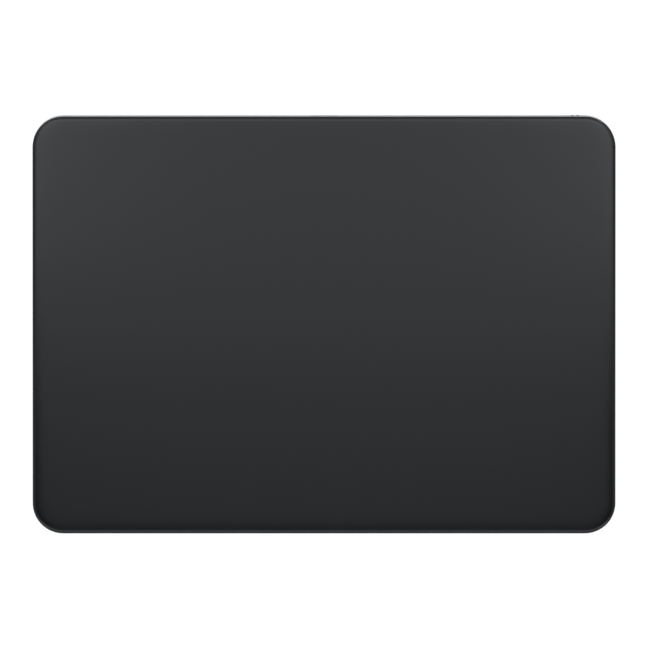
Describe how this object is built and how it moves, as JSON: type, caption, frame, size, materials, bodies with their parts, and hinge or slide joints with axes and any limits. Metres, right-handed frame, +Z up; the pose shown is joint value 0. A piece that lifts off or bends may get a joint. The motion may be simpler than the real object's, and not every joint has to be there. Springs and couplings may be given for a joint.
{
  "type": "trackpad",
  "caption": "Low wedge-shaped wireless trackpad with a satin black glass top, silver metal walls, a charging socket and a slide switch at the rear, on round feet.",
  "frame": {"origin": "middle of the footprint, on the desk under the feet", "axes": "+X along the width to the right, +Y from the low front edge to the high rear edge, +Z up"},
  "size_m": [0.16, 0.1149, 0.0109],
  "materials": {
    "black_glass": "satin black glass, opaque, with a rolled edge",
    "satin_aluminium": "bead blasted and anodised, natural silver",
    "cover_plastic": "fine matte, light grey",
    "foot_rubber": "matte grey silicone rubber",
    "adhesive": "black adhesive film",
    "circuit_board": "dark solder mask over glass fibre",
    "steel_plate": "plain cold rolled sheet",
    "brass_thread": "turned brass",
    "gauge_film": "amber film with a foil grid",
    "flex_film": "dark amber flexible circuit",
    "screw_steel": "dark plated steel",
    "cell_pouch": "black wrapped pouch foil",
    "white_tape": "white stretch tape",
    "chip_black": "moulded black resin",
    "tinned_steel": "tinned sheet steel",
    "connector_plastic": "ivory moulded plastic",
    "socket_steel": "drawn stainless steel",
    "socket_plastic": "black moulded plastic",
    "contact_gold": "gold plated",
    "slider_plastic": "fine matte, silver grey",
    "grip_plastic": "dark grey, matte",
    "indicator_green": "green, matte",
    "coil_copper": "enamelled copper",
    "heavy_metal": "sintered metal",
    "magnet_nickel": "nickel plated",
    "spring_steel": "rolled spring steel",
    "white_plastic": "white moulded plastic",
    "cable_jacket": "black jacket"
  },
  "bodies": {
    "base": {"glass_top": "black_glass", "glass_bond": "adhesive", "touch_sensor_board": "circuit_board", "support_plate": "steel_plate", "plate_bushings": "brass_thread", "housing": "satin_aluminium", "bottom_cover": "cover_plastic", "cover_bond": "adhesive", "strain_gauges": "gauge_film", "sensor_screws": "screw_steel", "sensor_flex_left": "flex_film", "sensor_flex_right": "flex_film", "battery_cell": "cell_pouch", "battery_tape": "white_tape", "battery_guard_board": "circuit_board", "battery_lead": "flex_film", "logic_board": "circuit_board", "board_chips": "chip_black", "radio_shield": "tinned_steel", "board_connectors": "connector_plastic", "board_screws": "screw_steel", "touch_connector": "connector_plastic", "socket_shell": "socket_steel", "socket_tongue": "socket_plastic", "socket_contacts": "contact_gold", "socket_bracket": "tinned_steel", "switch_keeper": "tinned_steel", "switch_indicator": "indicator_green", "switch_module": "socket_plastic", "haptic_tray": "steel_plate", "haptic_coils": "coil_copper", "haptic_spring_left": "spring_steel", "haptic_spring_right": "spring_steel", "haptic_lid": "tinned_steel", "haptic_screws": "screw_steel", "haptic_flex": "flex_film", "antenna_carrier": "white_plastic", "antenna_foil": "coil_copper", "antenna_cable": "cable_jacket", "force_beam_front_left": "spring_steel", "force_beam_front_right": "spring_steel", "force_beam_rear_left": "spring_steel", "force_beam_rear_right": "spring_steel"},
    "power_switch": {"switch_slider": "slider_plastic", "switch_grips": "grip_plastic", "switch_lever": "socket_plastic"},
    "haptic_mass": {"haptic_shuttle": "heavy_metal", "haptic_magnets": "magnet_nickel"},
    "foot_front_left": {"foot_pad_front_left": "foot_rubber", "foot_carrier_front_left": "white_plastic", "foot_retainer_front_left": "spring_steel"},
    "foot_front_right": {"foot_pad_front_right": "foot_rubber", "foot_carrier_front_right": "white_plastic", "foot_retainer_front_right": "spring_steel"},
    "foot_rear_left": {"foot_pad_rear_left": "foot_rubber", "foot_carrier_rear_left": "white_plastic", "foot_retainer_rear_left": "spring_steel"},
    "foot_rear_right": {"foot_pad_rear_right": "foot_rubber", "foot_carrier_rear_right": "white_plastic", "foot_retainer_rear_right": "spring_steel"}
  },
  "joints": [
    {"name": "power_switch_slide", "type": "slide", "parent": "base", "child": "power_switch", "axis": [1, 0, 0], "range_m": [-0.0022, 0]},
    {"name": "haptic_mass_slide", "type": "slide", "parent": "base", "child": "haptic_mass", "axis": [1, 0, 0], "range_m": [-0.0004, 0.0004], "stiffness_N_per_m": 8000, "deforming": ["haptic_spring_left", "haptic_spring_right"]},
    {"name": "foot_front_left_press", "type": "slide", "parent": "base", "child": "foot_front_left", "axis": [0, 0, 1], "range_m": [0, 0.00025], "stiffness_N_per_m": 20000, "deforming": ["force_beam_front_left"]},
    {"name": "foot_front_right_press", "type": "slide", "parent": "base", "child": "foot_front_right", "axis": [0, 0, 1], "range_m": [0, 0.00025], "stiffness_N_per_m": 20000, "deforming": ["force_beam_front_right"]},
    {"name": "foot_rear_left_press", "type": "slide", "parent": "base", "child": "foot_rear_left", "axis": [0, 0, 1], "range_m": [0, 0.00025], "stiffness_N_per_m": 20000, "deforming": ["force_beam_rear_left"]},
    {"name": "foot_rear_right_press", "type": "slide", "parent": "base", "child": "foot_rear_right", "axis": [0, 0, 1], "range_m": [0, 0.00025], "stiffness_N_per_m": 20000, "deforming": ["force_beam_rear_right"]}
  ]
}
